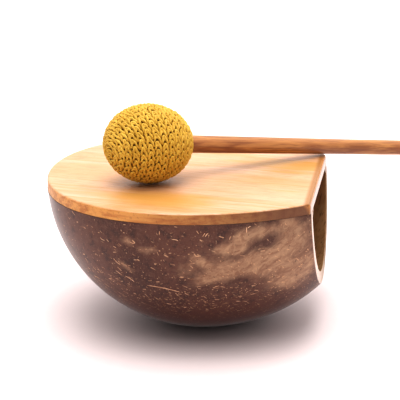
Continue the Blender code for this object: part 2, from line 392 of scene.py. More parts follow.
def paint_shell():
    """Polished nut: dark brown, khaki clouds, fibres sanded flush, and painted shade towards the
    foot.
    """
    paint = Paint("polished_shell")
    flat = paint.node("UVMap", uv_map="unrolled").outputs[0]
    place = paint.place
    heading = paint.math("ARCTAN2", paint.axis(flat, 1), paint.axis(flat, 0))
    heading = paint.math("ADD", heading, math.pi / 2 + FIBRE_LEAN)

    drift = paint.noise(place, 75.0, 5.0, 0.58, 0.5)
    streaks = paint.stretch(place, 1.9, (0.0, -32.0, 40.0))
    streaks = paint.noise(streaks, 420.0, 6.0, 0.68, 0.8)
    smoke = paint.stretch(place, 1.5, (0.0, -25.0, 35.0))
    smoke = paint.noise(smoke, 170.0, 6.0, 0.66, 1.0)
    veil = paint.math("ADD", paint.attribute("clouds"), paint.spread(drift, 1.3))
    veil = paint.math("ADD", veil, paint.spread(smoke, 1.1))
    khaki = paint.step(veil, 0.15, 1.20)

    tone = paint.step(paint.noise(place, 34.0, 4.0, 0.5), 0.35, 0.65)
    dark = paint.mix(tone, (0.080, 0.0255, 0.0150), (0.128, 0.046, 0.0270))
    mottle = paint.noise(place, 330.0, 4.0, 0.65)
    dark = paint.mix(paint.step(mottle, 0.50, 0.70, 0.0, 0.45), dark, (0.155, 0.072, 0.047))
    dark = paint.mix(paint.step(mottle, 0.50, 0.34, 0.0, 0.70), dark, (0.046, 0.016, 0.012))
    grit = paint.noise(place, 1500.0, 3.0, 0.7)
    dark = paint.mix(paint.step(grit, 0.52, 0.72), dark, (0.180, 0.088, 0.056))
    streaks = paint.step(streaks, 0.32, 0.68)
    pale = paint.mix(streaks, (0.290, 0.152, 0.086), (0.490, 0.310, 0.185))
    colour = paint.tint(dark, khaki, 0.90, pale)

    low = paint.attribute("fibrous")
    fibres = dashes(paint, flat, 0.0034, 0.00105, 0.00036, heading, 0.55, low)
    more = dashes(paint, flat, 0.0023, 0.00060, 0.00032, heading, 0.9, low, 0.31)
    few = paint.math("MULTIPLY", low, 0.7)
    dots = dashes(paint, flat, 0.0014, 0.00022, 0.00026, heading, 3.1, few, 0.77)
    marks = paint.math("MAXIMUM", fibres, paint.math("MAXIMUM", more, dots))
    marks = paint.math("MULTIPLY", marks, paint.step(grit, 0.25, 0.50, 0.55, 1.0))
    ochre = paint.step(paint.noise(place, 420.0, 2.0), 0.35, 0.62)
    ochre = paint.mix(ochre, (0.26, 0.120, 0.060), (0.66, 0.41, 0.24))
    colour = paint.tint(colour, marks, 0.84, ochre)

    height = paint.axis(place, 2)
    # Painted shade: deepened and redder towards the foot, for the underside that the floor
    # barely lights.
    foot = paint.step(height, 0.030, 0.006, 0.0, 0.86)
    colour = paint.mix(foot, colour, (0.066, 0.0080, 0.0018))
    pits = paint.step(paint.noise(place, 780.0, 2.0, 0.5), 0.66, 0.74)
    colour = paint.tint(colour, pits, 0.5, (0.030, 0.013, 0.010))
    rough = paint.math("MULTIPLY_ADD", drift, 0.16, 0.34)
    rough = paint.math("ADD", rough, paint.step(height, 0.034, 0.010, 0.0, 0.28))
    rough = paint.math("ADD", rough, paint.math("MULTIPLY", marks, 0.14))
    relief = paint.math("SUBTRACT", paint.math("MULTIPLY", marks, 0.5), pits)
    normal = paint.bump(relief, 0.00004, 0.6)
    normal = paint.bump(drift, 0.00025, 0.35, normal)
    return paint.finish(colour, rough, normal, Specular_IOR_Level=0.45, Coat_Weight=0.15,
                        Coat_Roughness=0.22, Sheen_Weight=0.46, Sheen_Roughness=0.25)


def paint_fibre():
    """A pale fibre of the husk, polished with the nut."""
    paint = Paint("husk_fibre")
    tone = paint.noise(paint.place, 700.0, 3.0, 0.6)
    colour = paint.step(tone, 0.35, 0.65)
    colour = paint.mix(colour, (0.47, 0.250, 0.130), (0.80, 0.52, 0.330))
    return paint.finish(colour, 0.45, paint.bump(tone, 0.00003, 0.6))


def paint_shell_inside():
    """The scraped inside of the nut: matte, with fibres along the wall."""
    paint = Paint("scraped_shell")
    place = paint.place
    streak = paint.noise(paint.turn_scale(place, (1.0, 1.0, 0.12)), 900.0, 5.0, 0.6)
    cloud = paint.noise(place, 70.0, 4.0)
    colour = paint.step(cloud, 0.35, 0.65)
    colour = paint.mix(colour, (0.50, 0.285, 0.130), (0.66, 0.41, 0.20))
    colour = paint.tint(colour, paint.step(streak, 0.52, 0.70), 0.6, (0.66, 0.45, 0.26))
    colour = paint.tint(colour, paint.step(streak, 0.46, 0.34), 0.6, (0.16, 0.075, 0.035))
    rough = paint.math("MULTIPLY_ADD", cloud, 0.2, 0.62)
    return paint.finish(colour, rough, paint.bump(streak, 0.00016, 0.8))


def paint_shell_cut():
    """The sawn and sanded edge of the nut, glossier in front; its far side is deepened with
    painted shade.
    """
    paint = Paint("sawn_shell")
    place = paint.place
    saw = paint.noise(paint.turn_scale(place, (1.0, 1.0, 0.2)), 1400.0, 3.0, 0.6)
    cloud = paint.noise(place, 160.0, 4.0)
    colour = paint.mix(paint.step(cloud, 0.3, 0.7), (0.56, 0.42, 0.32), (0.72, 0.57, 0.46))
    colour = paint.tint(colour, paint.step(saw, 0.5, 0.7), 0.5, (0.84, 0.72, 0.61))
    # Painted shade: the far side of the cut is made deep olive-brown, as less light reaches it.
    far = paint.step(paint.axis(place, 1), -0.026, 0.026, 0.0, 0.90)
    colour = paint.mix(far, colour, (0.22, 0.125, 0.050))
    rough = paint.math("MULTIPLY_ADD", cloud, 0.12, 0.18)
    rough = paint.math("ADD", rough, paint.math("MULTIPLY", far, 0.5))
    return paint.finish(colour, rough, paint.bump(saw, 0.00005, 0.5))


GRAIN_TURN = math.radians(9.0)     # the plate's grain runs this far off the X axis


def board_grain(paint, pale, amber, dark):
    """The plate's board: its colour, and masks of its streaks and pores."""
    grain = paint.turn_scale(paint.place, turn=(0.0, 0.0, GRAIN_TURN))

    def lengthwise(thin, scale, detail, rough, bend=0.0):
        """Noise drawn out along the grain."""
        return paint.noise(paint.turn_scale(grain, (thin, 1.0, 1.0)), scale, detail, rough, bend)

    slow = lengthwise(0.10, 30.0, 3.0, 0.5, 0.5)
    bands = paint.math("FRACT", paint.math("MULTIPLY", slow, 7.0))
    bands = paint.math("MULTIPLY", paint.step(bands, 0.0, 0.75), paint.step(bands, 1.0, 0.80))
    streak = lengthwise(0.035, 540.0, 4.0, 0.62)
    fine = lengthwise(0.05, 2100.0, 3.0, 0.6)
    apart = paint.vector("ADD", paint.turn_scale(grain, (0.07, 1.0, 1.0)), (0.3, 0.1, 0.2))
    pores = paint.step(paint.noise(apart, 2850.0, 2.0, 0.5), 0.64, 0.74)
    colour = paint.tint(pale, bands, 0.55, amber)
    colour = paint.tint(colour, paint.step(streak, 0.48, 0.72), 0.55, amber)
    colour = paint.tint(colour, paint.step(fine, 0.46, 0.70), 0.50, dark)
    return paint.tint(colour, pores, 0.60, dark), streak, pores


def paint_plate():
    """Pale hardwood with amber figure; orange edge, deep brown at the mouth, with painted shade
    and a painted highlight.
    """
    paint = Paint("plate_wood")
    place = paint.place
    colour, streak, pores = board_grain(
        paint, (0.695, 0.450, 0.295), (0.600, 0.305, 0.092), (0.38, 0.16, 0.055))
    warm = 0.0
    for x, y, long, wide, strength in FIGURE:
        spot = paint.node("Mapping", [
            ("Vector", place), ("Location", (x, y, PLATE_TOP)),
            ("Rotation", (0.0, 0.0, -GRAIN_TURN)), ("Scale", (long, wide, 1.0)),
        ], vector_type="TEXTURE").outputs[0]
        near = paint.step(paint.vector("LENGTH", spot), 1.7, 0.0, 0.0, strength)
        warm = paint.math("ADD", warm, near)
    soft = paint.turn_scale(place, (0.4, 1.0, 1.0), (0, 0, GRAIN_TURN))
    warm = paint.math("ADD", warm, paint.spread(paint.noise(soft, 110.0, 4.0, 0.6), 1.2))
    colour = paint.tint(colour, paint.step(warm, 0.25, 0.95), 0.70, (0.59, 0.318, 0.064))

    reach, height = paint.axis(place, 0), paint.axis(place, 2)
    lip = paint.step(reach, MOUTH_X - 0.0032, MOUTH_X - 0.0016, 0.0, 0.88)
    colour = paint.mix(lip, colour, (0.39, 0.172, 0.040))
    side = paint.step(streak, 0.40, 0.65)
    side = paint.mix(side, (0.66, 0.335, 0.094), (0.49, 0.196, 0.046))
    speck = paint.noise(paint.turn_scale(place, (1.0, 1.0, 0.8)), 1150.0, 4.0, 0.75)
    side = paint.tint(side, paint.step(speck, 0.53, 0.68), 0.42, (0.20, 0.070, 0.024))
    # Painted shade on the front of the side band, deepening towards the mouth.
    side = paint.tint(side, paint.attribute("turned"), 0.84, (0.118, 0.038, 0.020))
    edge = paint.step(height, PLATE_TOP - 0.00010, PLATE_TOP - 0.00060)
    colour = paint.mix(edge, colour, side)
    # Painted highlight: a pale band on the sawn face along the mouth for its bright reflection;
    # also less rough.
    sawn = paint.step(reach, MOUTH_X - 0.0004, MOUTH_X - 0.0001)
    colour = paint.tint(colour, sawn, 0.80, (0.46, 0.37, 0.33))
    rough = paint.math("MULTIPLY_ADD", streak, 0.12, 0.36)
    rough = paint.math("SUBTRACT", rough, paint.math("MULTIPLY", sawn, 0.20))
    normal = paint.bump(paint.math("SUBTRACT", streak, pores), 0.00004, 0.55)
    return paint.finish(colour, rough, normal, Coat_Weight=0.15, Coat_Roughness=0.30)


def paint_stick():
    """Reddish dowel with painted light along its upper side: straight grain, worn satin."""
    paint = Paint("stick_wood")
    place = paint.place
    grain = paint.turn_scale(place, (1.0, 1.0, 0.05))
    streak = paint.noise(grain, 620.0, 4.0, 0.6, 0.3)
    band = paint.noise(paint.turn_scale(place, (1.0, 1.0, 0.14)), 210.0, 4.0, 0.6, 0.8)
    fine = paint.noise(grain, 2600.0, 2.0, 0.6)
    colour = paint.step(band, 0.38, 0.62)
    colour = paint.mix(colour, (0.32, 0.122, 0.042), (0.52, 0.250, 0.085))
    # Painted light: the side of the dowel that faces up at rest is blended towards pale amber.
    up = MALLET.to_3x3().transposed() @ Vector((0.0, 0.0, 1.0))
    rise = paint.vector("DOT_PRODUCT", place, tuple(Vector((up.x, up.y, 0.0)).normalized()))
    paler = paint.step(rise, 0.0002, 0.0026, 0.0, 0.50)
    colour = paint.mix(paler, colour, (0.64, 0.315, 0.115))
    colour = paint.tint(colour, paint.step(streak, 0.48, 0.66), 0.62, (0.20, 0.062, 0.024))
    colour = paint.tint(colour, paint.step(fine, 0.52, 0.72), 0.35, (0.15, 0.050, 0.022))
    rough = paint.math("MULTIPLY_ADD", streak, 0.14, 0.36)
    return paint.finish(colour, rough, paint.bump(fine, 0.00004, 0.6),
                        Coat_Weight=0.10, Coat_Roughness=0.30)


def paint_yarn():
    """Mercerised cotton: plies in geometry, fine fibres along each ply, pale specks partly
    painted glints.
    """
    paint = Paint("mustard_yarn")
    flat = paint.node("UVMap", uv_map="yarn").outputs[0]
    fibre = paint.noise(paint.turn_scale(flat, (900.0, 26.0, 1.0)), 1.0, 3.0, 0.6)
    patch = paint.step(paint.noise(paint.place, 210.0, 3.0), 0.32, 0.68)
    colour = paint.mix(patch, (0.63, 0.400, 0.048), (0.75, 0.510, 0.086))
    colour = paint.tint(colour, paint.attribute("tone"), 0.30, (0.52, 0.31, 0.035))
    colour = paint.tint(colour, paint.step(fibre, 0.50, 0.30), 0.35, (0.36, 0.185, 0.014))
    # Pale fibre specks: fibre tone, and painted glints of the yarn's sheen.
    colour = paint.tint(colour, paint.step(fibre, 0.56, 0.72), 0.45, (0.86, 0.66, 0.19))
    rough = paint.math("MULTIPLY_ADD", fibre, 0.20, 0.50)
    return paint.finish(colour, rough, paint.bump(fibre, 0.00005, 0.7), Sheen_Weight=0.25,
                        Sheen_Roughness=0.45, Sheen_Tint=(1.0, 0.85, 0.45, 1.0))


def paint_wadding():
    """Felted yarn scraps, coloured deep mustard-brown as painted shade for the holes between the
    stitches.
    """
    paint = Paint("wadding_painted_shade")
    fuzz = paint.noise(paint.place, 900.0, 5.0, 0.65, 0.8)
    # Painted shade: the stuffing is made deep so that the gaps between stitches read as shadow.
    colour = paint.step(fuzz, 0.35, 0.65)
    colour = paint.mix(colour, (0.38, 0.180, 0.014), (0.62, 0.33, 0.030))
    return paint.finish(colour, 0.95, paint.bump(fuzz, 0.0002, 0.8))


def paint_core():
    """Turned scrap wood inside the head."""
    paint = Paint("core_wood")
    grain = paint.noise(paint.turn_scale(paint.place, (1.0, 1.0, 0.1)), 500.0, 4.0)
    colour = paint.mix(grain, (0.22, 0.12, 0.07), (0.45, 0.29, 0.18))
    return paint.finish(colour, 0.7, paint.bump(grain, 0.0001, 0.5))


def paint_glue():
    """Dried amber glue with trapped sawdust."""
    paint = Paint("amber_glue")
    dust = paint.noise(paint.place, 1300.0, 3.0, 0.7)
    colour = paint.mix(paint.step(dust, 0.45, 0.65), (0.30, 0.16, 0.07), (0.55, 0.36, 0.19))
    return paint.finish(colour, 0.35, paint.bump(dust, 0.0001, 0.6),
                        Coat_Weight=0.3, Coat_Roughness=0.2)


def paint_floor():
    """Matt white paper, a little warm."""
    paint = Paint("paper_floor")
    grain = paint.noise(paint.place, 260.0, 3.0)
    colour = paint.mix(grain, (0.880, 0.782, 0.777), (0.900, 0.802, 0.797))
    return paint.finish(colour, 0.75, Specular_IOR_Level=0.2)


# --- Drum ------------------------------------------------------------------
def bowl_rings(radius, depth, last_drop, count):
    """(radius, drop) pairs from the rim down, evenly turned."""
    last = math.asin((last_drop / depth) ** (BOWL_POWER / 2.0))
    rings = []
    for i in range(count + 1):
        angle = last * i / count
        rings.append((
            radius * math.cos(angle) ** (2.0 / BOWL_POWER),
            depth * math.sin(angle) ** (2.0 / BOWL_POWER),
        ))
    return rings


def like_nut(points):
    """Give turned points the nut's lobed outline and leaning pole."""
    x, y, z = np.array(points, float).T
    scale = lobe_scale(np.arctan2(y, x))
    return np.stack([x * scale + bowl_lean(bowl_share(z)), y * scale, z], axis=1)


def on_cut(item):
    """Whether an edge or a face lies in the sawn plane."""
    return all(abs((v.co - MOUTH_POINT).dot(MOUTH_FACING)) < CUT_TOLERANCE
               for v in item.verts)


def snap_and_saw(builder, share=0.36):
    """Saw a fine mesh off at the mouth, first moving close points onto the cut.

    A point moves if its edge meets the cut within this share of its length.
    Otherwise the saw would leave slivers, and the edge could not be rounded.
    """
    builder.verts.ensure_lookup_table()
    height = {v: (v.co - MOUTH_POINT).dot(MOUTH_FACING) for v in builder.verts}
    best = {}
    for edge in builder.edges:
        a, b = edge.verts
        ha, hb = height[a], height[b]
        if ha * hb >= 0.0:
            continue
        t = ha / (ha - hb)
        for vert, other, move in ((a, b, t), (b, a, 1.0 - t)):
            if move < share and (vert not in best or move < best[vert][0]):
                best[vert] = (move, vert.co.lerp(other.co, move))
    for vert, (_, place) in best.items():
        vert.co = place
    everything = [*builder.verts, *builder.edges, *builder.faces]
    bmesh.ops.bisect_plane(
        builder, geom=everything, plane_co=MOUTH_POINT, plane_no=MOUTH_FACING,
        clear_outer=True, dist=1e-7,
    )
    edges = [edge for edge in builder.edges if on_cut(edge) and len(edge.link_faces) == 1]
    bmesh.ops.edgeloop_fill(builder, edges=edges)
    bmesh.ops.recalc_face_normals(builder, faces=builder.faces)


# Khaki clouds of the shell, and darker gaps in them: azimuth and height of the
# middle, half length and half width in metres, degrees of tilt, strength.
CLOUDS = (
    (-77.0, 0.0345, 0.0085, 0.0021, 22.0, 1.00),
    (-64.0, 0.0380, 0.0080, 0.0032, 14.0, 0.95),
    (-68.0, 0.0480, 0.0034, 0.0026, 60.0, 0.95),
    (-73.0, 0.0455, 0.0045, 0.0020, -5.0, 0.90),
    (-46.0, 0.0460, 0.0095, 0.0055, 40.0, 0.90),
    (-53.0, 0.0385, 0.0070, 0.0055, 20.0, 0.85),
    (-42.0, 0.0330, 0.0065, 0.0036, 38.0, 0.95),
    (-81.0, 0.0405, 0.0050, 0.0017, -38.0, 0.80),
    (-58.0, 0.0520, 0.0100, 0.0026, 8.0, 0.65),
    (-74.0, 0.0400, 0.0040, 0.0022, 10.0, 0.40),
    (-88.0, 0.0380, 0.0040, 0.0025, 30.0, 0.55),
    (-58.0, 0.0430, 0.0200, 0.0105, 24.0, 0.42),
    (-47.0, 0.0300, 0.0110, 0.0040, 34.0, 0.70),
    (-37.0, 0.0285, 0.0060, 0.0048, 35.0, 0.65),
    (-84.0, 0.0360, 0.0110, 0.0070, 0.0, 0.30),
    (-49.0, 0.0400, 0.0028, 0.0022, 30.0, -0.55),
    (-58.0, 0.0470, 0.0034, 0.0020, 20.0, -0.50),
    (-107.0, 0.0480, 0.0022, 0.0017, 0.0, 0.95),
    (-101.0, 0.0450, 0.0018, 0.0013, 0.0, 0.75),
    (-98.0, 0.0455, 0.0014, 0.0010, 0.0, 0.80),
    (-110.0, 0.0370, 0.0036, 0.0014, -40.0, 0.75),
    (62.0, 0.0400, 0.0200, 0.0090, 12.0, 0.85),
    (128.0, 0.0330, 0.0140, 0.0060, -15.0, 0.70),
    (172.0, 0.0440, 0.0110, 0.0050, 20.0, 0.60),
)


def shell_attributes(mesh):
    """Where the shell is cloudy and where it is full of fibres."""
    x, y, z = vertex_places(mesh)
    azimuth = np.arctan2(y, x - bowl_lean(bowl_share(z)))
    clouds = np.zeros(len(z))
    for at, height, long, wide, tilt, strength in CLOUDS:
        turn = (azimuth - math.radians(at) + math.pi) % math.tau - math.pi
        east, up = turn * SHELL_RADIUS * 0.93, z - height
        cos, sin = math.cos(math.radians(tilt)), math.sin(math.radians(tilt))
        along, across = east * cos + up * sin, up * cos - east * sin
        clouds += strength * np.exp(-((along / long) ** 2 + (across / wide) ** 2) * 0.8)
    fibrous = 0.07 + 0.42 * np.exp(-((z - 0.022) / 0.012) ** 2)
    fibrous += 0.08 * np.cos(azimuth + math.radians(80.0))
    set_vertex_values(mesh, "clouds", clouds)
    set_vertex_values(mesh, "fibrous", fibrous)


def unroll_shell(mesh):
    """A UV map in metres: distance from the pole, and azimuth."""
    heights = np.linspace(0.0, RIM_HEIGHT + 0.001, 200)
    radii = bowl_radius(bowl_share(heights))
    steps = np.hypot(np.diff(heights), np.diff(radii))
    arcs = radii[0] + np.concatenate(([0.0], np.cumsum(steps)))
    x, y, z = vertex_places(mesh)
    x = x - bowl_lean(bowl_share(z))
    reach = np.maximum(np.hypot(x, y), 1e-9)
    arc = np.where(z > 2e-5, np.interp(z, heights, arcs), reach)
    set_vertex_uvs(mesh, "unrolled", np.stack([arc * x / reach, arc * y / reach], axis=1))


def build_shell():
    """The half nut: outside, rim, inside, and the sawn mouth, edges eased."""
    steps, count = 300, 84
    cut_ease, rim_share = 0.00035, 0.2
    outer = bowl_rings(SHELL_RADIUS, BOWL_DEPTH, RIM_HEIGHT, count)
    inner_radius, inner_depth = SHELL_RADIUS - SHELL_WALL, BOWL_DEPTH - SHELL_WALL
    inner = bowl_rings(inner_radius, inner_depth, inner_depth * 0.9998, count)
    inner[-1] = (0.0, inner_depth)
    profile = [(radius, RIM_HEIGHT - drop) for radius, drop in inner[::-1] + outer]
    foot = outer[-1][0]
    profile += [(foot * share, 0.0) for share in (0.75, 0.5, 0.25, 0.0)]
    points, faces = turned(profile, steps)
    mesh = grid_mesh("shell", like_nut(points), faces)

    builder = bmesh.new()
    builder.from_mesh(mesh)
    snap_and_saw(builder)
    weight = builder.edges.layers.float.new("bevel_weight_edge")
    for edge in builder.edges:
        if len(edge.link_faces) != 2:
            continue
        sawn = [on_cut(face) for face in edge.link_faces]
        flat = [all(v.co.z > RIM_HEIGHT - 1e-6 for v in face.verts) for face in edge.link_faces]
        if sawn[0] != sawn[1]:
            edge[weight] = 1.0
        elif flat[0] != flat[1]:
            edge[weight] = rim_share
    middle = 1.0 - SHELL_WALL / 2.0 / SHELL_RADIUS
    for face in builder.faces:
        x, y, z = face.calc_center_median()
        share = bowl_share(z)
        x -= bowl_lean(share)
        inside = middle * bowl_radius(share) * lobe_scale(math.atan2(y, x)) - 0.0002
        if on_cut(face):
            face.material_index = 2
        elif math.hypot(x, y) < inside and SHELL_WALL * 0.5 < z < RIM_HEIGHT - 1e-6:
            face.material_index = 1
    builder.to_mesh(mesh)
    builder.free()
    obj = add_piece("shell", mesh, "drum", "coconut_shell",
                    paint_shell(), paint_shell_inside(), paint_shell_cut())
    smooth(mesh)
    ease_edges(obj, cut_ease, 2)
    shell_attributes(obj.data)
    unroll_shell(obj.data)


# Fibres that stand proud of the polish: azimuth and height of the middle,
# length and width in metres, degrees its right end is above its left, bend.
FIBRES = (
    (-97.0, 0.0285, 0.0120, 0.00072, -12.0, 0.0006),
    (-110.0, 0.0315, 0.0038, 0.00052, -38.0, 0.0003),
    (-114.0, 0.0335, 0.0026, 0.00028, -42.0, 0.0000),
    (-113.0, 0.0385, 0.0034, 0.00030, -48.0, -0.0003),
    (-105.0, 0.0475, 0.0020, 0.00032, -6.0, -0.0003),
    (-95.0, 0.0520, 0.0014, 0.00030, 80.0, 0.0000),
    (-90.0, 0.0495, 0.0023, 0.00032, -8.0, 0.0002),
    (-105.0, 0.0405, 0.0018, 0.00026, 4.0, 0.0000),
    (-117.0, 0.0470, 0.0020, 0.00026, -25.0, -0.0004),
    (-130.0, 0.0540, 0.0022, 0.00030, -35.0, 0.0000),
    (-120.0, 0.0295, 0.0021, 0.00026, 8.0, 0.0000),
    (-97.0, 0.0210, 0.0018, 0.00034, -15.0, 0.0000),
    (-90.0, 0.0195, 0.0014, 0.00036, 30.0, 0.0000),
    (-65.0, 0.0525, 0.0022, 0.00028, 88.0, 0.0000),
    (-64.0, 0.0535, 0.0015, 0.00024, 25.0, 0.0001),
    (-80.0, 0.0515, 0.0016, 0.00034, 55.0, 0.0000),
    (-79.0, 0.0515, 0.0019, 0.00034, 50.0, 0.0001),
    (-74.0, 0.0505, 0.0019, 0.00036, -20.0, 0.0000),
    (-71.0, 0.0500, 0.0013, 0.00034, 70.0, 0.0000),
    (-82.0, 0.0525, 0.0013, 0.00030, -60.0, 0.0000),
    (-54.0, 0.0300, 0.0021, 0.00034, -8.0, 0.0000),
    (-88.0, 0.0265, 0.0020, 0.00036, -35.0, 0.0000),
    (-76.0, 0.0300, 0.0020, 0.00036, 20.0, 0.0001),
    (-60.0, 0.0250, 0.0019, 0.00034, 10.0, 0.0000),
    (-66.0, 0.0220, 0.0017, 0.00034, -12.0, 0.0000),
)


def over_shell(azimuth, height):
    """Points on the polished outside, from azimuth in degrees and height."""
    azimuth, height = np.broadcast_arrays(np.radians(azimuth), height)
    share = bowl_share(height)
    radius = bowl_radius(share) * lobe_scale(azimuth)
    x = radius * np.cos(azimuth) + bowl_lean(share)
    return np.stack([x, radius * np.sin(azimuth), height], axis=-1)


def build_fibres():
    """Tapered fibres sunk in the polish, all but their backs."""
    parts = []
    turn_step, rise_step = 0.1, 0.0001
    along = np.linspace(-0.5, 0.5, 15)
    for azimuth, height, length, width, heading, bend in FIBRES:
        middle = over_shell(azimuth, height)
        east = np.linalg.norm(over_shell(azimuth + turn_step, height) - middle)
        up = np.linalg.norm(over_shell(azimuth, height + rise_step) - middle)
        cos, sin = math.cos(math.radians(heading)), math.sin(math.radians(heading))
        run, rise = length * along, bend * (1.0 - 4.0 * along ** 2)
        azimuths = azimuth + turn_step * (run * cos - rise * sin) / east
        heights = height + rise_step * (run * sin + rise * cos) / up
        surface = over_shell(azimuths, heights)
        outward = np.cross(
            over_shell(azimuths + turn_step, heights) - surface,
            over_shell(azimuths, heights + rise_step) - surface,
        )
        outward /= np.linalg.norm(outward, axis=1)[:, None]
        fullness = np.sqrt(np.clip(1.0 - (2.0 * along) ** 2, 0.0, 1.0))
        radii = width * (0.15 + 0.55 * fullness)
        centres = surface - outward * (radii - 0.00006)[:, None]
        parts.append((tube(centres, outward, radii, 10), 0.5))
    mesh = yarn_mesh("fibres", parts)
    add_piece("raised_fibres", mesh, "drum", "coconut_shell", paint_fibre())


def ease_edges(obj, width, segments, keep_flats=False):
    """Round the weighted edges and keep the result as the piece's own mesh.

    keep_flats leaves the shading of flat faces flat beside the rounding.
    """
    modifier = obj.modifiers.new("Easing", "BEVEL")
    modifier.limit_method = "WEIGHT"
    modifier.width = width
    modifier.segments = segments
    modifier.use_clamp_overlap = False
    modifier.miter_outer = "MITER_SHARP"
    modifier.material = -1
    if keep_flats:
        obj.modifiers.new("Flats", "WEIGHTED_NORMAL").mode = "FACE_AREA"
    bpy.context.view_layer.update()
    depsgraph = bpy.context.evaluated_depsgraph_get()
    eased = bpy.data.meshes.new_from_object(obj.evaluated_get(depsgraph))
    eased.name = obj.data.name
    old = obj.data
    obj.modifiers.clear()
    obj.data = eased
    bpy.data.meshes.remove(old)


# Amber figure on the plate: x, y of the middle, half length along the grain,
# half width, strength. Metres. The first is also painted bounce light from the ball.
FIGURE = (
    # In front of the ball: amber figure, and painted bounce light from the yellow ball.
    (-0.010, -0.042, 0.026, 0.0085, 1.10),
    (0.010, -0.036, 0.026, 0.0040, 0.45),
    (0.037, 0.016, 0.024, 0.0090, 1.20),
    (-0.045, 0.004, 0.018, 0.0035, 0.35),
    (0.000, 0.034, 0.030, 0.0060, 0.60),
    (0.018, -0.006, 0.022, 0.0028, 0.35),
    (0.030, 0.005, 0.022, 0.0016, 0.55),
    (0.024, -0.013, 0.026, 0.0014, 0.45),
    (0.034, -0.023, 0.016, 0.0018, 0.45),
    (0.012, 0.019, 0.030, 0.0018, 0.45),
    (-0.030, 0.022, 0.030, 0.0020, 0.35),
    (-0.042, -0.014, 0.020, 0.0016, 0.35),
)


def build_plate():
    """The struck plate: a sawn disc, rounded over at the mouth and eased all round."""
    steps, underside_share = 150, 0.05
    angles = math.tau * np.arange(steps) / steps
    outline = PLATE_RADIUS * lobe_scale(angles)
    points = [
        (radius * math.cos(angle), radius * math.sin(angle), height)
        for height in (PLATE_TOP, PLATE_BOTTOM) for angle, radius in zip(angles, outline)
    ]
    faces = [tuple(range(steps)), tuple(range(2 * steps - 1, steps - 1, -1))]
    for i in range(steps):
        j = (i + 1) % steps
        faces.append((i, steps + i, steps + j, j))
    mesh = grid_mesh("plate", points, faces)

    builder = bmesh.new()
    builder.from_mesh(mesh)
    snap_and_saw(builder, 0.5)
    weight = builder.edges.layers.float.new("bevel_weight_edge")
    for edge in builder.edges:
        if len(edge.link_faces) != 2:
            continue
        cut = [on_cut(face) for face in edge.link_faces]
        top = [all(v.co.z > PLATE_TOP - 1e-6 for v in face.verts) for face in edge.link_faces]
        low = [all(v.co.z < PLATE_BOTTOM + 1e-6 for v in face.verts) for face in edge.link_faces]
        if cut[0] != cut[1] and (top[0] or top[1]):
            edge[weight] = 1.0
        elif top[0] != top[1] or (cut[0] != cut[1] and not (low[0] or low[1])):
            edge[weight] = RIM_EDGE_ROUND / MOUTH_EDGE_ROUND
        elif low[0] != low[1]:
            edge[weight] = underside_share
    builder.to_mesh(mesh)
    builder.free()
    obj = add_piece("plate", mesh, "drum", "top_plate", paint_plate())
    mesh.shade_smooth()
    ease_edges(obj, MOUTH_EDGE_ROUND, 5, keep_flats=True)

    # Painted shade on the side band: deepening towards the mouth, on the front only.
    x, y, _ = vertex_places(obj.data)
    painted_side_shade = np.clip((np.degrees(np.arctan2(y, x)) + 110.0) / 58.0, 0.0, 1.0)
    set_vertex_values(obj.data, "turned", painted_side_shade * ((y < 0.0) & (x < MOUTH_X - 0.0004)))


def build_glue():
    """The bead of glue inside the rim, lumpy as it was squeezed out."""
    outer = SHELL_RADIUS - SHELL_WALL - SEAM
    top = RIM_HEIGHT
    bead = []
    for i in range(7):
        angle = math.radians(90.0 * i / 6)
        reach = GLUE_FILLET * (0.82 + 0.18 * abs(math.cos(2.0 * angle)))
        bead.append((outer - reach * math.sin(angle), top - reach * math.cos(angle)))
    bead[0] = (outer - 0.0001, top - GLUE_FILLET)
    bead[-1] = (outer - GLUE_FILLET, top - 0.0001)
    points, faces = turned([(outer, top), *bead, (outer, top)], 300)
    points = like_nut(points)
    angles = np.arctan2(points[:, 1], points[:, 0])
    lumps = 1.0 + 0.05 * np.sin(9 * angles) + 0.04 * np.sin(23 * angles + 1.0)
    corner = outer * lobe_scale(angles)
    anchor = np.stack(
        [corner * np.cos(angles), corner * np.sin(angles), np.full_like(angles, top)], axis=1)
    points = anchor + (points - anchor) * np.minimum(lumps, 1.0)[:, None]
    mesh = grid_mesh("glue", points, faces)
    builder = bmesh.new()
    builder.from_mesh(mesh)
    bmesh.ops.remove_doubles(builder, verts=builder.verts, dist=1e-6)
    snap_and_saw(builder, 0.2)
    builder.to_mesh(mesh)
    builder.free()
    smooth(mesh)
    add_piece("glue_bead", mesh, "drum", "glue_fillet", paint_glue())


# --- Mallet ----------------------------------------------------------------
def build_stick():
    """A dowel turned by hand: nearly round, nearly straight-sided."""
    chamfer, round_over, count = 0.0003, 0.0018, 90
    stations = [
        (0.0, -BORE_DEPTH), (STICK_RADIUS_HEAD - chamfer, -BORE_DEPTH),
        (STICK_RADIUS_HEAD, -BORE_DEPTH + chamfer),
    ]
    first, last = HEAD_HALF_LENGTH * 0.5, STICK_LENGTH - 0.0022
    for i in range(count + 1):
        z = first + (last - first) * i / count
        blend = (z - HEAD_HALF_LENGTH) / (STICK_REACH - HEAD_HALF_LENGTH)
        blend = min(1.0, max(0.0, blend))
        radius = STICK_RADIUS_HEAD + (STICK_RADIUS_GRIP - STICK_RADIUS_HEAD) * blend
        if z > STICK_REACH:
            radius -= 0.00003 * (1.0 + math.sin(z * 210.0))
        stations.append((radius, z))
    centre, height = stations[-1][0] - round_over, STICK_LENGTH - round_over
    for i in range(1, 7):
        angle = math.radians(90.0 * i / 6)
        stations.append((
            centre + round_over * math.cos(angle), height + round_over * math.sin(angle)))
    stations.append((0.0, STICK_LENGTH))
    mesh = grid_mesh("stick", *turned(stations, 64))
    smooth(mesh, 50.0)
    add_piece("stick", mesh, "mallet", "mallet_stick", paint_stick())


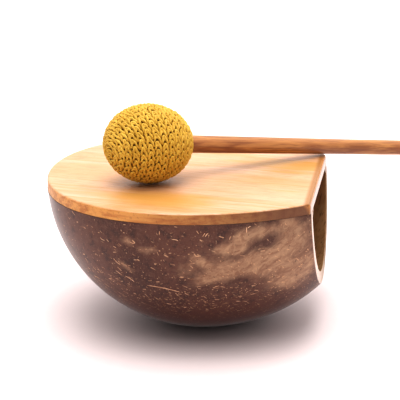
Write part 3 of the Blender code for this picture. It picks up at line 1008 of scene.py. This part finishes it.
def head_table():
    """Arc length from the neck along the head's meridian, and its angle."""
    theta = np.linspace(0.0, math.pi, 721)
    step = np.hypot(
        np.diff(HEAD_RADIUS * np.sin(theta)), np.diff(HEAD_HALF_LENGTH * np.cos(theta)),
    )
    arc = np.concatenate(([0.0], np.cumsum(step)))
    return theta, arc


THETA, ARC = head_table()
NECK_RADIUS = 0.0046
NECK_ARC = float(np.interp(math.asin(NECK_RADIUS / HEAD_RADIUS), THETA, ARC))
ROUNDS = 16
STITCH = 0.00287
YARN_RADIUS = 0.00049
POLE_TILT = math.radians(15.0)
POLE_TILT_AXIS = Vector((0.0, 0.0, -1.0)).cross(
    MALLET.to_3x3().transposed() @ Vector((0.0, 0.0, -1.0))).normalized()


def over_head(arc, turn, lift):
    """Point and outward direction over the head, along the mallet's axis.

    arc is measured from the neck, turn is the angle round the axis. The start
    ring is off the axis, so the rounds tilt more and more towards it.
    """
    theta = np.interp(arc, ARC, THETA)
    unit = np.stack([
        np.sin(theta) * np.cos(turn), np.sin(theta) * np.sin(turn), np.cos(theta),
    ], axis=-1)
    share = np.clip(theta / math.pi, 0.0, 1.0)
    tilt = POLE_TILT * share * share * (3.0 - 2.0 * share)
    axis = np.array(POLE_TILT_AXIS)
    cos, sin = np.cos(tilt)[..., None], np.sin(tilt)[..., None]
    unit = (unit * cos + np.cross(axis, unit) * sin
            + axis * (unit @ axis)[..., None] * (1.0 - cos))
    size = np.array([HEAD_RADIUS, HEAD_RADIUS, HEAD_HALF_LENGTH])
    outward = unit / size
    outward /= np.linalg.norm(outward, axis=-1)[..., None]
    return unit * size + outward * np.asarray(lift)[..., None], outward


# One stitch seen from outside: across the round (0 start side, 1 neck side),
# along the round (in stitches), and the lift of the yarn's middle in yarn
# radii below the head's outline.
LINK = (
    (0.10, 0.14, -2.6),
    (0.14, -0.06, -1.5),
    (0.19, -0.34, -1.02),
    (0.26, -0.68, -0.92),
    (0.37, -0.95, -0.86),
    (0.49, -0.90, -0.84),
    (0.61, -0.62, -0.88),
    (0.72, -0.28, -0.94),
    (0.80, 0.02, -1.08),
    (0.86, 0.24, -1.7),
    (0.86, 0.42, -2.7),
)

# The loop that shows between the legs of a stitch, in the same terms.
BAR = (
    (0.06, -0.38, -2.5),
    (0.20, -0.48, -1.45),
    (0.38, -0.54, -1.10),
    (0.54, -0.50, -1.20),
    (0.70, -0.40, -2.1),
)


def spline(points, samples):
    """Evenly sampled Catmull-Rom curve through points."""
    points = np.asarray(points, float)
    padded = np.vstack([2 * points[0] - points[1], points, 2 * points[-1] - points[-2]])
    t = np.linspace(0.0, len(points) - 1.0, samples)
    i = np.minimum(t.astype(int), len(points) - 2)
    f = (t - i)[:, None]
    p0, p1, p2, p3 = (padded[i + k] for k in range(4))
    return 0.5 * (
        2 * p1 + (p2 - p0) * f + (2 * p0 - 5 * p1 + 4 * p2 - p3) * f ** 2
        + (3 * p1 - p0 - 3 * p2 + p3) * f ** 3
    )


def yarn_mesh(name, parts):
    """One mesh from tubes, with a yarn UV in metres and a tone per stitch."""
    points, faces, uv, tone, start = [], [], [], [], 0
    for (part, part_faces, along, around), shade in parts:
        points.append(part)
        faces += [tuple(start + k for k in face) for face in part_faces]
        uv.append(np.stack([around * math.tau * YARN_RADIUS, along], axis=1))
        tone.append(np.full(len(part), shade))
        start += len(part)
    mesh = grid_mesh(name, np.vstack(points), faces)
    set_vertex_uvs(mesh, "yarn", np.vstack(uv))
    set_vertex_values(mesh, "tone", np.concatenate(tone))
    mesh.shade_smooth()
    return mesh


def build_crochet():
    """The cover, stitch by stitch: rounds of single crochet.

    It is two pieces only to keep each mesh small.
    """
    chance = random.Random(7)
    lean = 0.14             # how far each round's stitches lag, in stitches

    def stray(size):
        """A random number as far as size from 0."""
        return chance.uniform(-size, size)

    stitches = []
    length = float(ARC[-1]) - NECK_ARC
    depth = length / ROUNDS
    phase = 0.0
    for number in range(ROUNDS):
        far = NECK_ARC + length - depth * number       # start-ring side
        middle = far - depth / 2.0
        theta = float(np.interp(middle, ARC, THETA))
        count = max(6, round(math.tau * HEAD_RADIUS * math.sin(theta) / STITCH))
        pitch = math.tau / count
        phase -= lean * pitch
        for stitch in range(count):
            wide, slip, sink, drift = 1.0 + stray(0.06), stray(0.06), stray(0.14), stray(0.04)
            narrow = min(1.0, pitch * HEAD_RADIUS * math.sin(theta) / (STITCH * 0.8))
            for outline, samples, sides, thick in ((LINK, 30, 12, 1.0), (BAR, 14, 10, 0.9)):
                link = np.array(outline)
                link[:, 0] = 0.5 + (link[:, 0] - 0.5) * wide + drift
                link[:, 1] += slip
                link[:, 2] += sink
                path = spline(link, samples)
                turn = phase + (stitch + path[:, 1]) * pitch
                arc = far - path[:, 0] * depth
                centres, outward = over_head(arc, turn, path[:, 2] * YARN_RADIUS)
                radius = YARN_RADIUS * thick * narrow * (1.0 + stray(0.05))
                part = tube(
                    centres, outward, np.full(len(path), radius), sides, 2, 0.24, 0.0024,
                    chance.uniform(0.0, 6.3))
                stitches.append((part, chance.random()))
    half = len(stitches) // 2
    for name, parts in (("crochet_lower", stitches[:half]), ("crochet_upper", stitches[half:])):
        add_piece(name, yarn_mesh(name, parts), "mallet", "crochet_cover", YARN)


def build_wadding():
    """The stuffed ball under the stitches, with the core's hollow and a bore."""
    skin, ripple_height = 0.00120, 0.00018
    neck = STICK_RADIUS_HEAD + 0.0002
    outer = (HEAD_RADIUS - skin, HEAD_HALF_LENGTH - skin)
    inner = (CORE_RADIUS + SEAM, CORE_RADIUS + SEAM)
    rings = []
    for radius, half in (inner, outer):
        angles = np.linspace(math.asin(neck / radius), math.pi, 48)
        rings.append([(radius * math.sin(angle), half * math.cos(angle)) for angle in angles])
        rings[-1][-1] = (0.0, -half)
    points, faces = turned(rings[0][::-1] + rings[1], 72)
    x, y, z = points.T
    size = np.linalg.norm(points / np.array([outer[0], outer[0], outer[1]]), axis=1)
    ripple = np.sin(x * 900 + 2.0 * np.sin(z * 700)) * np.cos(y * 800 + z * 650)
    sunk = ripple_height * (1.0 + ripple) / outer[0]
    scale = 1.0 - np.where(size > 0.97, sunk, 0.0)
    mesh = grid_mesh("wadding", points * scale[:, None], faces)
    smooth(mesh, 70.0)
    obj = add_piece("wadding", mesh, "mallet", "head_stuffing", paint_wadding())


def build_neck_tie():
    """The yarn end drawn tight through the last round."""
    thick, collar, count = 0.0005, 0.0050, 97
    radius = STICK_RADIUS_HEAD + SEAM + thick
    height = HEAD_HALF_LENGTH * math.cos(math.asin(collar / HEAD_RADIUS)) - thick
    turn = np.linspace(0.0, math.tau * 1.05, count)
    cos, sin = np.cos(turn), np.sin(turn)
    centres = np.stack([radius * cos, radius * sin, height + 0.00012 * np.sin(5 * turn)], axis=1)
    outward = np.stack([cos, sin, np.zeros(count)], axis=1)
    part = tube(centres, outward, np.full(count, thick), 12, 3, 0.10, 0.0030)
    mesh = yarn_mesh("neck_tie_yarn", [(part, 0.5)])
    add_piece("neck_tie_yarn", mesh, "mallet", "neck_tie", YARN)


def show_core():
    """The ball inside the head keeps its CAD mesh, with a wood material."""
    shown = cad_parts["head_core"]
    shown.data.materials.clear()
    shown.data.materials.append(paint_core())


# --- Stage -----------------------------------------------------------------
WALL_LIGHT = 0.05           # what every direction gives at least
# The ceiling, the left, right and back walls: axis, side, sharpness, strength.
WORLD_LIGHT = (
    (2, 1.0, 2.0, 1.45), (0, -1.0, 1.5, 0.72), (0, 1.0, 1.5, 0.76), (1, 1.0, 1.5, 1.40),
)


def build_camera():
    """The photograph's view: from the front, 16 degrees down, a long lens."""
    data = bpy.data.cameras.new("camera")
    data.sensor_width = 36.0
    data.lens = 126.0
    data.clip_start, data.clip_end = 0.01, 20.0
    camera = bpy.data.objects.new("camera", data)
    camera.location = Vector((0.0837, -0.5233, 0.1375)) + Vector((0.0, 0.0, PLATE_TOP))
    camera.rotation_euler = (math.radians(90.0 - 15.70), 0.0, math.radians(9.09))
    bpy.context.scene.collection.objects.link(camera)
    bpy.context.scene.camera = camera


def build_floor():
    """A sheet of paper that reaches past the picture on all sides."""
    builder = bmesh.new()
    bmesh.ops.create_grid(builder, x_segments=12, y_segments=12, size=3.0)
    mesh = bpy.data.meshes.new("floor")
    builder.to_mesh(mesh)
    builder.free()
    floor = new_object("floor", mesh, (paint_floor(),))
    floor.location = (0.0, 0.0, SHELL_LOW.z - 0.00002)


def add_light(name, place, target, side, power):
    """A square white softbox of a side in metres, facing a target."""
    data = bpy.data.lights.new(name, "AREA")
    data.shape = "SQUARE"
    data.size = side
    data.energy = power
    light = bpy.data.objects.new(name, data)
    light.location = place
    light.rotation_euler = (Vector(target) - Vector(place)).to_track_quat("-Z", "Y").to_euler()
    bpy.context.scene.collection.objects.link(light)


def build_lights():
    """A white studio: a bright ceiling, walls paler than it, and two softboxes.

    The view's gamma stands for the contrast of a camera's own tone curve.
    """
    world = Paint("studio", bpy.data.worlds)
    towards = world.node("TexCoord").outputs["Generated"]
    level = WALL_LIGHT
    for axis, sign, power, strength in WORLD_LIGHT:
        side = world.math("MULTIPLY", world.axis(towards, axis), sign)
        shaped = world.math("POWER", world.math("MAXIMUM", side, 0.0), power)
        level = world.math("MULTIPLY_ADD", shaped, strength, level)
    world.put(world.shader.inputs["Color"], (1.0, 1.0, 1.0, 1.0))
    world.put(world.shader.inputs["Strength"], level)
    bpy.context.scene.world = world.made
    add_light("overhead", (0.0, 0.0, 1.0), (0.0, 0.0, 0.0), 0.8, 5.0)
    add_light("front_top", (0.0, -0.45, 0.85), (0.0, 0.0, 0.05), 0.6, 3.2)
    bpy.context.scene.view_settings.view_transform = "Standard"
    bpy.context.scene.view_settings.gamma = 0.74


build_camera()
build_floor()
build_lights()
build_shell()
build_fibres()
build_plate()
build_glue()
build_stick()
YARN = paint_yarn()
build_crochet()
build_wadding()
build_neck_tie()
show_core()
